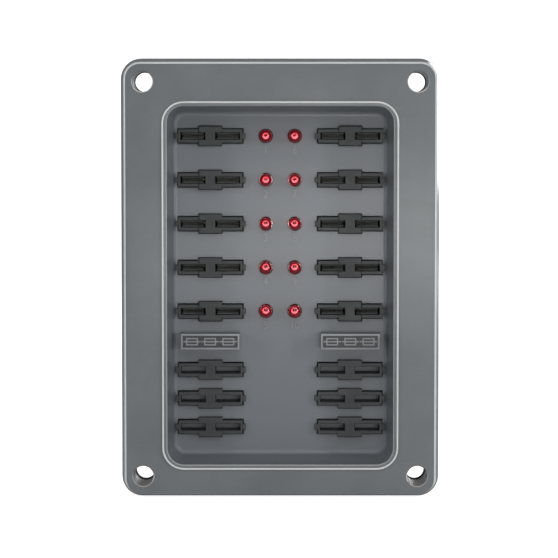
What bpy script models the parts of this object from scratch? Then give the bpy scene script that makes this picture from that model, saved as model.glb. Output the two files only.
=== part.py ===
"""Ten-way blade fuse holder panel with blown-fuse lamps and six spare-fuse slots.

The panel stands upright: X runs to the right, Z up and Y from front to back.
The origin is the centre of the four mounting holes, on the plane of the surface that the panel is screwed to.
Depths are measured in millimetres from the flat front face of the flange towards the back.
"""

import math

import bmesh
import bpy
from mathutils import Matrix, Vector

MM = 0.001
GAP = 0.3  # running gap kept between neighbouring pieces
OVERLAP = 1.0  # how far shapes that are joined or cut reach into each other

# Flange and skirt
FLANGE_HALF = (62.0, 86.2)  # half width and half height at the front, over the edge rounding
FLANGE_FLARE = 1.6  # how much wider the skirt is at its parting line
PARTING_DEPTH = 8.5
SKIRT_DEPTH = 16.0
EDGE_ROUND = 1.2
FLANGE_CORNER = 8.0
FACE_WALL = 2.6
SKIRT_WALL = 2.3

# Mounting face and holes
GASKET_THICKNESS = 2.7
MOUNT_DEPTH = SKIRT_DEPTH + GAP + GASKET_THICKNESS
HOLE_AT = (54.6, 78.5)
HOLE_RADIUS = 4.05
BOSS_RADIUS = 6.4

# Recess (the bay that holds the fuses); it sits a little below the centre of the flange
RECESS_HALF_WIDTH = 44.9
RECESS_TOP, RECESS_BOTTOM = 68.6, -73.8
RECESS_CORNER = 6.6
RECESS_DRAFT = 1.8
FLOOR_DEPTH = 15.6
FLOOR_WALL = 2.4
TUB_WALL = 2.2
RIM_WIDTH, RIM_HEIGHT = 2.1, 0.8

# Rows and columns
SOCKET_X = 28.15
LED_X = 5.85
TOP_ROW_Z = 56.9
ROW_PITCH = 17.68
ROWS = 5
SPARE_ROW_Z = -37.6
SPARE_PITCH = 11.6
SPARE_ROWS = 3
LABEL_Z = -25.6
LABEL_SIZE = (23.8, 6.5)
LABEL_HEIGHT = 7.0
LABEL_RIM = 0.95
LABEL_SINK = 0.5

# Sockets: a long body with a wide middle block and a small tab on each end
SOCKET_LENGTH, SOCKET_WIDTH = 25.9, 5.46
BLOCK_LENGTH, BLOCK_WIDTH = 9.76, 8.3
TAB_REACH, TAB_WIDTH = 1.3, 2.4
SOCKET_RISE = 2.0  # above the recess floor
BLOCK_RISE = 2.4
SOCKET_BACK = 29.8
SPARE_POCKET = 6.0  # depth of a spare-fuse pocket below the recess floor
POCKET_WALL = 1.8
SLOT_LENGTH, SLOT_WIDTH = 9.9, 2.7
SLOT_AT = 7.0  # centre of each slot from the socket's centre
SLOT_FLOOR_DEPTH = 28.0
BARB = 0.6

# Fuse clips: a pair of spring leaves that run into one flat tab
CLIP_WIDTH = 8.6
TAB_TERMINAL = (6.3, 0.8)
CLIP_MOUTH_DEPTH = 15.4
CLIP_END_DEPTH = 43.0
TAB_SLIT = (7.1, 1.5)

# Lamps
LED_RADIUS, LED_FLANGE_RADIUS = 2.45, 2.9
LED_LENGTH, LED_FLANGE = 8.7, 1.0
LED_STEPS, DOME_STEPS = 16, 4
LEG_SPACING, LEG_SIZE, LEG_END = 2.54, 0.5, 32.3

# Circuit board
BOARD_DEPTH, BOARD_THICKNESS = 30.2, 1.6
BOARD_HALF_WIDTH, BOARD_TOP, BOARD_BOTTOM = 42.0, 66.4, -22.0
LEG_HOLE = 1.1
NETWORK_SIZE = (2.5, 25.4, 5.0)  # width, height, standing depth
NETWORK_AT = (10.4, 21.8)
NETWORK_PINS = 10

# Posts and screws of the circuit board; each post stands midway between two rows of sockets
POST_X = 38.0
POST_TOP_Z, POST_BOTTOM_Z = TOP_ROW_Z - 0.5 * ROW_PITCH, TOP_ROW_Z - 3.5 * ROW_PITCH
POST_RADIUS = 2.8
SCREW_RADIUS, SCREW_HEAD_RADIUS, SCREW_HEAD = 1.4, 2.9, 1.9
SCREW_LENGTH = 8.0
PILOT_DEPTH = 9.0
ROUND_STEPS = 24


# ---------------------------------------------------------------- scene

def clear_scene():
    for thing in list(bpy.data.objects):
        bpy.data.objects.remove(thing, do_unlink=True)


def new_collection(name):
    collection = bpy.data.collections.new(name)
    bpy.context.scene.collection.children.link(collection)
    return collection


def new_material(name, colour, roughness, metallic=0.0):
    material = bpy.data.materials.new(name)
    material.use_nodes = True
    shader = material.node_tree.nodes["Principled BSDF"]
    shader.inputs["Base Color"].default_value = (*colour, 1.0)
    shader.inputs["Roughness"].default_value = roughness
    shader.inputs["Metallic"].default_value = metallic
    return material


def y_of(depth):
    """The Y of a depth behind the front face, in millimetres."""
    return depth - MOUNT_DEPTH


def object_of(mesh, name, collection, at=(0, 0, 0)):
    """An object of a bmesh in millimetres, placed at a point in millimetres."""
    data = bpy.data.meshes.new(name)
    bmesh.ops.scale(mesh, vec=(MM, MM, MM), verts=mesh.verts)
    bmesh.ops.recalc_face_normals(mesh, faces=mesh.faces)
    mesh.to_mesh(data)
    mesh.free()
    made = bpy.data.objects.new(name, data)
    made.location = Vector(at) * MM
    collection.objects.link(made)
    return made


def part(mesh, name, material, at=(0, 0, 0)):
    made = object_of(mesh, name, PARTS, at)
    made.data.materials.append(material)
    return made


def cutter(mesh, name, at=(0, 0, 0)):
    made = object_of(mesh, name, CUTTERS, at)
    made.hide_render = True
    made.display_type = "WIRE"
    return made


def boolean(target, tool, operation):
    modifier = target.modifiers.new(tool.name, "BOOLEAN")
    modifier.operation = operation
    modifier.solver = "EXACT"
    modifier.object = tool


def join(target, tool):
    boolean(target, tool, "UNION")


def cut(target, tool):
    boolean(target, tool, "DIFFERENCE")


# ---------------------------------------------------------------- shapes

def add_box(mesh, low, high):
    """Adds a box between two corners."""
    low, high = Vector(low), Vector(high)
    matrix = Matrix.Translation((low + high) / 2) @ Matrix.Diagonal((*(high - low), 1))
    return bmesh.ops.create_cube(mesh, size=1, matrix=matrix)["verts"]


def add_slab(mesh, centre, size, front, back):
    """Adds a box centred on (x, z), size (width, height), between two depths."""
    x, z = centre
    half_width, half_height = size[0] / 2, size[1] / 2
    return add_box(
        mesh,
        (x - half_width, y_of(front), z - half_height),
        (x + half_width, y_of(back), z + half_height),
    )


def add_round(mesh, centre, radius, front, back, steps=ROUND_STEPS):
    """Adds a cylinder that runs front to back."""
    turn = Matrix.Rotation(math.radians(90), 4, "X")
    place = Matrix.Translation((centre[0], (y_of(front) + y_of(back)) / 2, centre[1]))
    bmesh.ops.create_cone(
        mesh,
        cap_ends=True,
        segments=steps,
        radius1=radius,
        radius2=radius,
        depth=back - front,
        matrix=place @ turn,
    )


def rounded_prism(half_width, top, bottom, corner, front, back, draft=0.0, steps=6):
    """A block with rounded corners. With draft, its back is that much smaller on every side."""
    mesh = bmesh.new()
    middle = (top + bottom) / 2
    add_slab(mesh, (0, middle), (2 * half_width, top - bottom), front, back)
    along = [e for e in mesh.edges if abs(e.verts[0].co.y - e.verts[1].co.y) > (back - front) / 2]
    bmesh.ops.bevel(
        mesh, geom=along, offset=corner, segments=steps, profile=0.5, affect="EDGES"
    )
    half_height = (top - bottom) / 2
    for vert in mesh.verts:
        if vert.co.y > y_of((front + back) / 2):
            vert.co.x *= (half_width - draft) / half_width
            vert.co.z = middle + (vert.co.z - middle) * (half_height - draft) / half_height
    return mesh


def round_rim(mesh, depth, radius, steps=3):
    """Rounds the edges of a block that lie at one depth."""
    edges = [e for e in mesh.edges if all(abs(v.co.y - y_of(depth)) < 1e-4 for v in e.verts)]
    bmesh.ops.bevel(
        mesh, geom=edges, offset=radius, segments=steps, profile=0.5, affect="EDGES"
    )


def corners(x, top, bottom=None):
    """Four points, one in each corner."""
    low = -top if bottom is None else bottom
    return [(side * x, z) for z in (top, low) for side in (-1, 1)]


def socket_places():
    """(number, side, z) of the ten working sockets: 1 to 5 down the left and 6 to 10 down the right."""
    places = []
    for column, side in enumerate((-1, 1)):
        for row in range(ROWS):
            places.append((column * ROWS + row + 1, side, TOP_ROW_Z - row * ROW_PITCH))
    return places


def spare_places():
    places = []
    for column, side in enumerate((-1, 1)):
        for row in range(SPARE_ROWS):
            number = column * SPARE_ROWS + row + 1
            places.append((number, side, SPARE_ROW_Z - row * SPARE_PITCH))
    return places


# ---------------------------------------------------------------- housing

def make_flange():
    """The flange: it flares from the rounded front edge to the parting line, then runs straight."""
    widest = (FLANGE_HALF[0] + FLANGE_FLARE, FLANGE_HALF[1] + FLANGE_FLARE)
    mesh = rounded_prism(widest[0], widest[1], -widest[1], FLANGE_CORNER, 0, SKIRT_DEPTH)
    bmesh.ops.bisect_plane(
        mesh,
        geom=mesh.verts[:] + mesh.edges[:] + mesh.faces[:],
        plane_co=(0, y_of(PARTING_DEPTH), 0),
        plane_no=(0, 1, 0),
    )
    for vert in mesh.verts:
        if vert.co.y < y_of(PARTING_DEPTH / 2):
            vert.co.x *= FLANGE_HALF[0] / widest[0]
            vert.co.z *= FLANGE_HALF[1] / widest[1]
    round_rim(mesh, 0, EDGE_ROUND)
    return part(mesh, "housing", GREY_PLASTIC)


def make_hollow():
    """The hollow behind the flange face, open at the back."""
    half_width = FLANGE_HALF[0] + FLANGE_FLARE - SKIRT_WALL
    half_height = FLANGE_HALF[1] + FLANGE_FLARE - SKIRT_WALL
    mesh = rounded_prism(
        half_width,
        half_height,
        -half_height,
        FLANGE_CORNER - SKIRT_WALL,
        FACE_WALL,
        SKIRT_DEPTH + OVERLAP,
    )
    for vert in mesh.verts:
        if vert.co.y < y_of(SKIRT_DEPTH / 2):
            vert.co.x *= (half_width - FLANGE_FLARE) / half_width
            vert.co.z *= (half_height - FLANGE_FLARE) / half_height
    return cutter(mesh, "flange_hollow")


def make_tub():
    mesh = rounded_prism(
        RECESS_HALF_WIDTH + TUB_WALL,
        RECESS_TOP + TUB_WALL,
        RECESS_BOTTOM - TUB_WALL,
        RECESS_CORNER + TUB_WALL,
        FACE_WALL - OVERLAP,
        FLOOR_DEPTH + FLOOR_WALL,
        RECESS_DRAFT,
    )
    return cutter(mesh, "tub")


def make_rim():
    """The raised rim around the mouth of the recess."""
    mesh = rounded_prism(
        RECESS_HALF_WIDTH + RIM_WIDTH,
        RECESS_TOP + RIM_WIDTH,
        RECESS_BOTTOM - RIM_WIDTH,
        RECESS_CORNER + RIM_WIDTH,
        -RIM_HEIGHT,
        OVERLAP,
    )
    round_rim(mesh, -RIM_HEIGHT, 0.4, 2)
    return cutter(mesh, "rim")


def make_bosses():
    mesh = bmesh.new()
    for place in corners(*HOLE_AT):
        add_round(mesh, place, BOSS_RADIUS, FACE_WALL - OVERLAP, SKIRT_DEPTH)
    return cutter(mesh, "hole_bosses")


def make_ribs():
    """Stiffening ribs between the tub and the skirt."""
    thickness = 1.6
    mesh = bmesh.new()
    skirt = (FLANGE_HALF[0] - SKIRT_WALL / 2, FLANGE_HALF[1] - SKIRT_WALL / 2)
    inner_x = RECESS_HALF_WIDTH - RECESS_DRAFT + TUB_WALL / 2
    for side in (-1, 1):
        for z in (-40.0, 0.0, 40.0):
            add_slab(
                mesh,
                (side * (skirt[0] + inner_x) / 2, z),
                (skirt[0] - inner_x, thickness),
                FACE_WALL - OVERLAP,
                SKIRT_DEPTH - 2,
            )
        for edge, far in ((RECESS_TOP, skirt[1]), (RECESS_BOTTOM, -skirt[1])):
            near = edge - math.copysign(RECESS_DRAFT - TUB_WALL / 2, edge)
            add_slab(
                mesh,
                (side * 22.0, (near + far) / 2),
                (thickness, abs(far - near)),
                FACE_WALL - OVERLAP,
                SKIRT_DEPTH - 2,
            )
    return cutter(mesh, "ribs")


def make_recess():
    """The recess itself: its walls lean in and meet the floor in a small rounding."""
    reach = 3.0
    lean = RECESS_DRAFT / FLOOR_DEPTH
    mesh = rounded_prism(
        RECESS_HALF_WIDTH + reach * lean,
        RECESS_TOP + reach * lean,
        RECESS_BOTTOM - reach * lean,
        RECESS_CORNER,
        -reach,
        FLOOR_DEPTH,
        RECESS_DRAFT + reach * lean,
    )
    round_rim(mesh, FLOOR_DEPTH, 1.0, 2)
    return cutter(mesh, "recess")


def make_label_blocks():
    mesh = bmesh.new()
    for side in (-1, 1):
        front = FLOOR_DEPTH - LABEL_HEIGHT
        add_slab(mesh, (side * SOCKET_X, LABEL_Z), LABEL_SIZE, front, FLOOR_DEPTH + OVERLAP)
    return cutter(mesh, "label_blocks")


def make_label_sinks():
    mesh = bmesh.new()
    size = (LABEL_SIZE[0] - 2 * LABEL_RIM, LABEL_SIZE[1] - 2 * LABEL_RIM)
    for side in (-1, 1):
        top = FLOOR_DEPTH - LABEL_HEIGHT
        add_slab(mesh, (side * SOCKET_X, LABEL_Z), size, top - OVERLAP, top + LABEL_SINK)
    return cutter(mesh, "label_sinks")


def make_pocket_boxes():
    """The closed boxes behind the floor that the spare fuses reach into."""
    mesh = bmesh.new()
    size = (SOCKET_LENGTH + 2 * (GAP + POCKET_WALL), SOCKET_WIDTH + 2 * (GAP + POCKET_WALL))
    back = FLOOR_DEPTH + SPARE_POCKET + POCKET_WALL
    for number, side, z in spare_places():
        add_slab(mesh, (side * SOCKET_X, z), size, FLOOR_DEPTH + FLOOR_WALL - OVERLAP, back)
    return cutter(mesh, "pocket_boxes")


def make_posts():
    """The posts behind the floor that the circuit board is screwed to."""
    mesh = bmesh.new()
    for place in corners(POST_X, POST_TOP_Z, POST_BOTTOM_Z):
        add_round(mesh, place, POST_RADIUS, FLOOR_DEPTH + OVERLAP, BOARD_DEPTH - GAP, 16)
    return cutter(mesh, "board_posts")


def make_floor_openings():
    """Openings for the working sockets and lamps, and the blind pockets of the spare sockets."""
    mesh = bmesh.new()
    size = (SOCKET_LENGTH + 2 * GAP, SOCKET_WIDTH + 2 * GAP)
    front = FLOOR_DEPTH - OVERLAP
    for number, side, z in socket_places():
        back = FLOOR_DEPTH + FLOOR_WALL + OVERLAP
        add_slab(mesh, (side * SOCKET_X, z), size, front, back)
        add_round(mesh, (side * LED_X, z), LED_RADIUS + GAP, front, back, LED_STEPS)
    for number, side, z in spare_places():
        add_slab(mesh, (side * SOCKET_X, z), size, front, FLOOR_DEPTH + SPARE_POCKET)
    return cutter(mesh, "floor_openings")


def make_round_holes():
    """The mounting holes, and the blind pilot holes in the posts."""
    mesh = bmesh.new()
    for place in corners(*HOLE_AT):
        add_round(mesh, place, HOLE_RADIUS, -OVERLAP, SKIRT_DEPTH + OVERLAP)
    for place in corners(POST_X, POST_TOP_Z, POST_BOTTOM_Z):
        front = BOARD_DEPTH - PILOT_DEPTH
        add_round(mesh, place, SCREW_RADIUS + GAP, front, BOARD_DEPTH + OVERLAP, 12)
    return cutter(mesh, "round_holes")


def make_housing():
    housing = make_flange()
    cut(housing, make_hollow())
    for shape in (make_tub(), make_rim(), make_bosses(), make_ribs()):
        join(housing, shape)
    cut(housing, make_recess())
    for shape in (make_label_blocks(), make_pocket_boxes(), make_posts()):
        join(housing, shape)
    for shape in (make_label_sinks(), make_floor_openings(), make_round_holes()):
        cut(housing, shape)


def make_gasket():
    """The foam gasket behind the skirt, with a window for the tub."""
    inset = 0.4
    window_gap = 2.6
    mesh = rounded_prism(
        FLANGE_HALF[0] + FLANGE_FLARE - inset,
        FLANGE_HALF[1] + FLANGE_FLARE - inset,
        -FLANGE_HALF[1] - FLANGE_FLARE + inset,
        FLANGE_CORNER - inset,
        SKIRT_DEPTH + GAP,
        MOUNT_DEPTH,
    )
    gasket = part(mesh, "flange_gasket", BLACK_FOAM)
    window = rounded_prism(
        RECESS_HALF_WIDTH + window_gap,
        RECESS_TOP + window_gap,
        RECESS_BOTTOM - window_gap,
        RECESS_CORNER + window_gap,
        SKIRT_DEPTH - OVERLAP,
        MOUNT_DEPTH + OVERLAP,
    )
    cut(gasket, cutter(window, "gasket_window"))
    holes = bmesh.new()
    for place in corners(*HOLE_AT):
        add_round(holes, place, HOLE_RADIUS, SKIRT_DEPTH - OVERLAP, MOUNT_DEPTH + OVERLAP)
    cut(gasket, cutter(holes, "gasket_holes"))


# ---------------------------------------------------------------- sockets

def add_socket_top(mesh_tools, place):
    """The middle block and the end tabs, which rest on the recess floor."""
    back = FLOOR_DEPTH - GAP
    block, tabs = mesh_tools
    add_slab(block, place, (BLOCK_LENGTH, BLOCK_WIDTH), FLOOR_DEPTH - BLOCK_RISE, back)
    length = SOCKET_LENGTH + 2 * TAB_REACH
    add_slab(tabs, place, (length, TAB_WIDTH), FLOOR_DEPTH - SOCKET_RISE + 0.2, back)


def add_barb(mesh, centre, side):
    """A wedge behind the floor that keeps the socket in: it starts proud and slopes back into the body."""
    x, z = centre
    end = x + side * SOCKET_LENGTH / 2
    front = FLOOR_DEPTH + FLOOR_WALL + GAP
    verts = add_box(
        mesh,
        (min(end - side, end + side * BARB), y_of(front), z - TAB_WIDTH / 2),
        (max(end - side, end + side * BARB), y_of(front + 2.4), z + TAB_WIDTH / 2),
    )
    for vert in verts:
        proud = (vert.co.x - end) * side > 0
        if proud and vert.co.y > y_of(front + 1):
            vert.co.x = end - side * 0.1


def make_socket(name, side, z, back, slot_back, with_slits):
    """One socket, with a slot for each blade of the fuse."""
    place = (side * SOCKET_X, z)
    body = bmesh.new()
    add_slab(body, place, (SOCKET_LENGTH, SOCKET_WIDTH), FLOOR_DEPTH - SOCKET_RISE, back)
    socket = part(body, name, BLACK_PLASTIC)
    block, tabs = bmesh.new(), bmesh.new()
    add_socket_top((block, tabs), place)
    join(socket, cutter(block, name + "_block"))
    join(socket, cutter(tabs, name + "_tabs"))
    slots = bmesh.new()
    for slot in (-1, 1):
        centre = (place[0] + slot * SLOT_AT, z)
        front = FLOOR_DEPTH - BLOCK_RISE - OVERLAP
        add_slab(slots, centre, (SLOT_LENGTH, SLOT_WIDTH), front, slot_back)
    cut(socket, cutter(slots, name + "_slots"))
    if with_slits:
        barbs, slits = bmesh.new(), bmesh.new()
        for slot in (-1, 1):
            add_barb(barbs, place, slot)
            centre = (place[0] + slot * SLOT_AT, z)
            add_slab(slits, centre, TAB_SLIT, slot_back - OVERLAP, back + OVERLAP)
        join(socket, cutter(barbs, name + "_barbs"))
        cut(socket, cutter(slits, name + "_slits"))


def make_sockets():
    for number, side, z in socket_places():
        make_socket(f"fuse_socket_{number:02d}", side, z, SOCKET_BACK, SLOT_FLOOR_DEPTH, True)
    for number, side, z in spare_places():
        back = FLOOR_DEPTH + SPARE_POCKET - GAP
        make_socket(f"spare_socket_{number}", side, z, back, back + OVERLAP, False)


# ---------------------------------------------------------------- clips

def clip_outline():
    """Half of a clip's cross-section as (depth, height): a leaf that flares at its mouth, then the tab."""
    return [
        (CLIP_MOUTH_DEPTH, 1.0),
        (CLIP_MOUTH_DEPTH + 2.6, 0.62),
        (CLIP_MOUTH_DEPTH + 7.0, 1.0),
        (CLIP_MOUTH_DEPTH + 9.6, 0.9),
    ]


def make_clip_mesh():
    """The leaves are one folded strip, so the section is a closed loop that is open at the mouth."""
    thickness = 0.42
    upper = clip_outline()
    inner = [(depth, height - thickness) for depth, height in upper]
    outline = [(depth, height) for depth, height in upper]
    outline += [(upper[-1][0], -upper[-1][1])]
    outline += [(depth, -height) for depth, height in reversed(upper[:-1])]
    outline += [(depth, -height) for depth, height in inner[:-1]]
    outline += [(upper[-1][0] - thickness, -inner[-1][1]), (upper[-1][0] - thickness, inner[-1][1])]
    outline += [(depth, height) for depth, height in reversed(inner[:-1])]
    curve = bpy.data.curves.new("clip_section", "CURVE")
    curve.dimensions = "2D"
    curve.fill_mode = "BOTH"
    curve.extrude = CLIP_WIDTH / 2 * MM
    spline = curve.splines.new("POLY")
    spline.points.add(len(outline) - 1)
    for point, (depth, height) in zip(spline.points, outline):
        point.co = (y_of(depth) * MM, height * MM, 0, 1)
    spline.use_cyclic_u = True
    section = bpy.data.objects.new("clip_section", curve)
    CUTTERS.objects.link(section)
    bpy.context.view_layer.update()
    made = bpy.data.meshes.new_from_object(
        section.evaluated_get(bpy.context.evaluated_depsgraph_get())
    )
    bpy.data.objects.remove(section)
    mesh = bmesh.new()
    mesh.from_mesh(made)
    bpy.data.meshes.remove(made)
    bmesh.ops.remove_doubles(mesh, verts=mesh.verts, dist=0.00001)
    # The curve lies in its own XY plane: its X is the part's Y, its Y the part's Z, its Z the part's X.
    swap = Matrix(((0, 0, 1, 0), (1, 0, 0, 0), (0, 1, 0, 0), (0, 0, 0, 1)))
    bmesh.ops.transform(mesh, matrix=swap, verts=mesh.verts)
    bmesh.ops.scale(mesh, vec=(1 / MM,) * 3, verts=mesh.verts)
    return mesh


def make_clip(name, x, z):
    clip = part(make_clip_mesh(), name, TINNED_BRASS, (x, 0, z))
    tab = bmesh.new()
    front = clip_outline()[-1][0] - 0.2
    add_slab(tab, (0, 0), TAB_TERMINAL, front, CLIP_END_DEPTH)
    for vert in tab.verts:
        if vert.co.y > y_of(CLIP_END_DEPTH - 1):
            vert.co.x *= 0.82
            vert.co.z *= 0.5
    bmesh.ops.bisect_plane(
        tab,
        geom=tab.verts[:] + tab.edges[:] + tab.faces[:],
        plane_co=(0, y_of(CLIP_END_DEPTH - 1.2), 0),
        plane_no=(0, 1, 0),
    )
    for vert in tab.verts:
        if abs(vert.co.y - y_of(CLIP_END_DEPTH - 1.2)) < 0.01:
            vert.co.x = math.copysign(TAB_TERMINAL[0] / 2, vert.co.x)
            vert.co.z = math.copysign(TAB_TERMINAL[1] / 2, vert.co.z)
    join(clip, cutter(tab, name + "_tab", (x, 0, z)))


def make_clips():
    for number, side, z in socket_places():
        make_clip(f"feed_clip_{number:02d}", side * (SOCKET_X + SLOT_AT), z)
        make_clip(f"load_clip_{number:02d}", side * (SOCKET_X - SLOT_AT), z)


# ---------------------------------------------------------------- lamps

def make_led(name, x, z):
    """A round lamp: a turned dome on a flange, with two legs."""
    back = FLOOR_DEPTH + FLOOR_WALL + GAP + LED_FLANGE
    shoulder = back - LED_LENGTH + LED_RADIUS
    profile = [(0.0, shoulder - LED_RADIUS)]
    for step in range(1, DOME_STEPS + 1):
        angle = step / DOME_STEPS * math.pi / 2
        profile.append((LED_RADIUS * math.sin(angle), shoulder - LED_RADIUS * math.cos(angle)))
    profile += [
        (LED_RADIUS, back - LED_FLANGE),
        (LED_FLANGE_RADIUS, back - LED_FLANGE),
        (LED_FLANGE_RADIUS, back),
        (0.0, back),
    ]
    mesh = bmesh.new()
    verts = [mesh.verts.new((radius, y_of(depth), 0)) for radius, depth in profile]
    for first, second in zip(verts, verts[1:]):
        mesh.edges.new((first, second))
    led = part(mesh, name, RED_LENS, (x, 0, z))
    screw = led.modifiers.new("turn", "SCREW")
    screw.axis = "Y"
    screw.steps = LED_STEPS
    screw.render_steps = LED_STEPS
    screw.use_merge_vertices = True
    screw.merge_threshold = 0.00001
    screw.use_normal_calculate = True
    legs = bmesh.new()
    for leg in (-1, 1):
        at = (leg * LEG_SPACING / 2, 0)
        add_slab(legs, at, (LEG_SIZE, LEG_SIZE), back - 0.4, LEG_END)
    join(led, cutter(legs, name + "_legs", (x, 0, z)))


def make_leds():
    for number, side, z in socket_places():
        make_led(f"indicator_led_{number:02d}", side * LED_X, z)


# ---------------------------------------------------------------- circuit board

def add_terminal_slits(mesh, size, front, back):
    for number, side, z in socket_places():
        for slot in (-1, 1):
            add_slab(mesh, (side * (SOCKET_X + slot * SLOT_AT), z), size, front, back)


def make_board():
    board_mesh = rounded_prism(
        BOARD_HALF_WIDTH,
        BOARD_TOP,
        BOARD_BOTTOM,
        2.0,
        BOARD_DEPTH,
        BOARD_DEPTH + BOARD_THICKNESS,
        steps=2,
    )
    board = part(board_mesh, "circuit_board", BOARD_GREEN)
    front, back = BOARD_DEPTH - OVERLAP, BOARD_DEPTH + BOARD_THICKNESS + OVERLAP
    openings = bmesh.new()
    add_terminal_slits(openings, TAB_SLIT, front, back)
    for number, side, z in socket_places():
        for leg in (-1, 1):
            at = (side * LED_X + leg * LEG_SPACING / 2, z)
            add_slab(openings, at, (LEG_HOLE, LEG_HOLE), front, back)
    for place in corners(POST_X, POST_TOP_Z, POST_BOTTOM_Z):
        add_round(openings, place, SCREW_RADIUS + GAP, front, back, 12)
    cut(board, cutter(openings, "board_openings"))


def make_network(name, side):
    """A resistor network on the front of the board, with its row of pins cut short at the board."""
    width, height, stand = NETWORK_SIZE
    centre = (side * NETWORK_AT[0], NETWORK_AT[1])
    back = BOARD_DEPTH - GAP
    mesh = bmesh.new()
    add_slab(mesh, centre, (width, height), back - stand, back - 0.6)
    network = part(mesh, name, NETWORK_BLACK)
    pins = bmesh.new()
    pitch = LEG_SPACING
    for pin in range(NETWORK_PINS):
        z = centre[1] + (pin - (NETWORK_PINS - 1) / 2) * pitch
        add_slab(pins, (centre[0], z), (0.5, 0.8), back - 1.2, back)
    join(network, cutter(pins, name + "_pins"))


def make_screws():
    """Pan-head screws with a straight driver slot, which hold the board to its posts."""
    seat = BOARD_DEPTH + BOARD_THICKNESS + GAP
    for index, place in enumerate(corners(POST_X, POST_TOP_Z, POST_BOTTOM_Z)):
        head = bmesh.new()
        add_round(head, place, SCREW_HEAD_RADIUS, seat, seat + SCREW_HEAD, 20)
        round_rim(head, seat + SCREW_HEAD, 0.6, 2)
        screw = part(head, f"board_screw_{index + 1}", PLATED_STEEL)
        shank = bmesh.new()
        add_round(shank, place, SCREW_RADIUS, seat - SCREW_LENGTH, seat + 0.5, 12)
        join(screw, cutter(shank, f"screw_shank_{index + 1}"))
        slot = bmesh.new()
        add_slab(slot, place, (8.0, 0.8), seat + SCREW_HEAD - 0.9, seat + SCREW_HEAD + OVERLAP)
        cut(screw, cutter(slot, f"screw_slot_{index + 1}"))


# ---------------------------------------------------------------- build

clear_scene()
PARTS = new_collection("fuse_holder")
CUTTERS = new_collection("cutters")
GREY_PLASTIC = new_material("grey_plastic", (0.115, 0.125, 0.13), 0.42)
BLACK_PLASTIC = new_material("black_plastic", (0.02, 0.022, 0.022), 0.45)
BLACK_FOAM = new_material("black_foam", (0.015, 0.015, 0.015), 0.9)
TINNED_BRASS = new_material("tinned_brass", (0.62, 0.58, 0.48), 0.3, 1.0)
RED_LENS = new_material("red_lens", (0.6, 0.01, 0.015), 0.12)
BOARD_GREEN = new_material("board_green", (0.02, 0.12, 0.05), 0.5)
NETWORK_BLACK = new_material("network_black", (0.03, 0.03, 0.03), 0.5)
PLATED_STEEL = new_material("plated_steel", (0.6, 0.6, 0.6), 0.3, 1.0)

make_housing()
make_gasket()
make_sockets()
make_clips()
make_leds()
make_board()
make_network("resistor_network_left", -1)
make_network("resistor_network_right", 1)
make_screws()
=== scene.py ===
import bpy
import math
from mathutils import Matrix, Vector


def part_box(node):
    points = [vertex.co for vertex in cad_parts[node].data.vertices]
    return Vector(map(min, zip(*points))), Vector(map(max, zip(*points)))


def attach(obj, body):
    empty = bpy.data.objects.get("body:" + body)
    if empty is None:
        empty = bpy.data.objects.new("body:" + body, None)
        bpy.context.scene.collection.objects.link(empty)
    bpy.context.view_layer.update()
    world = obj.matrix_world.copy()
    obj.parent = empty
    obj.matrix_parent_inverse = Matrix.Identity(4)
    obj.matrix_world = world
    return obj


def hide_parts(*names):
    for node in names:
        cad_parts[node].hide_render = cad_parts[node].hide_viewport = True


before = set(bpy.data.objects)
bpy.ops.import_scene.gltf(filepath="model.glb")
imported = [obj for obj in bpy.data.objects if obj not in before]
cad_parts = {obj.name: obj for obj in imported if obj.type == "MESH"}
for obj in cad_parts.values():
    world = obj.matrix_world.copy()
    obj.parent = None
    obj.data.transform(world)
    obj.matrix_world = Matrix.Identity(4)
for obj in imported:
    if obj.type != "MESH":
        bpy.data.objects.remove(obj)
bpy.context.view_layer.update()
print("frame loaded")

mm = 0.001
quarter = math.pi / 2


# Places taken from the frame

def centreOf(node):
    low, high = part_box(node)
    return (low + high) / 2


housingLow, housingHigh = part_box("housing")
lipHeight = 0.8 * mm                 # how far the lip stands in front of the flange
faceY = housingLow.y + lipHeight     # the flat face of the flange
near = 1e-6                          # how close two places count as the same
socketNames = [f"fuse_socket_{n:02d}" for n in range(1, 11)]
spareNames = [f"spare_socket_{n}" for n in range(1, 7)]
lampNames = [f"indicator_led_{n:02d}" for n in range(1, 11)]
clipNames = [f"{kind}_clip_{n:02d}" for n in range(1, 11) for kind in ("feed", "load")]
screwNames = [f"board_screw_{n}" for n in range(1, 5)]
networkNames = ["resistor_network_left", "resistor_network_right"]


def depthY(depth):
    # Y of a depth in millimetres behind the flange face
    return faceY + depth * mm


def spot(node):
    # where a node's middle is across the front, in millimetres
    middle = centreOf(node)
    return middle.x / mm, middle.z / mm


def depthsOf(node):
    # the depths of a node's front and back
    low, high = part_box(node)
    return (low.y - faceY) / mm, (high.y - faceY) / mm


# Small tools

def deselect():
    bpy.ops.object.select_all(action="DESELECT")


def pick(action):
    # in edit mode: selects everything or nothing
    bpy.ops.mesh.select_all(action=action)


def only(obj):
    deselect()
    obj.select_set(True)
    bpy.context.view_layer.objects.active = obj


def editStart(obj):
    only(obj)
    bpy.ops.object.mode_set(mode="EDIT")
    bpy.ops.mesh.select_mode(type="VERT")
    pick("DESELECT")


def editEnd():
    bpy.ops.object.mode_set(mode="OBJECT")


def settle(obj):
    # puts the object's place and size into its mesh
    only(obj)
    bpy.ops.object.transform_apply(location=True, rotation=True, scale=True)
    return obj


def selectWhere(obj, kind, test):
    # selects the faces or edges whose centre and normal pass a test; called from object mode
    mesh = obj.data
    for item in (*mesh.vertices, *mesh.edges, *mesh.polygons):
        item.select = False
    if kind == "FACE":
        for face in mesh.polygons:
            face.select = test(face.center, face.normal)
    else:
        for edge in mesh.edges:
            ends = [mesh.vertices[v].co for v in edge.vertices]
            edge.select = test(ends[0], ends[1])
    only(obj)
    bpy.ops.object.mode_set(mode="EDIT")
    bpy.ops.mesh.select_mode(type=kind)


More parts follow.
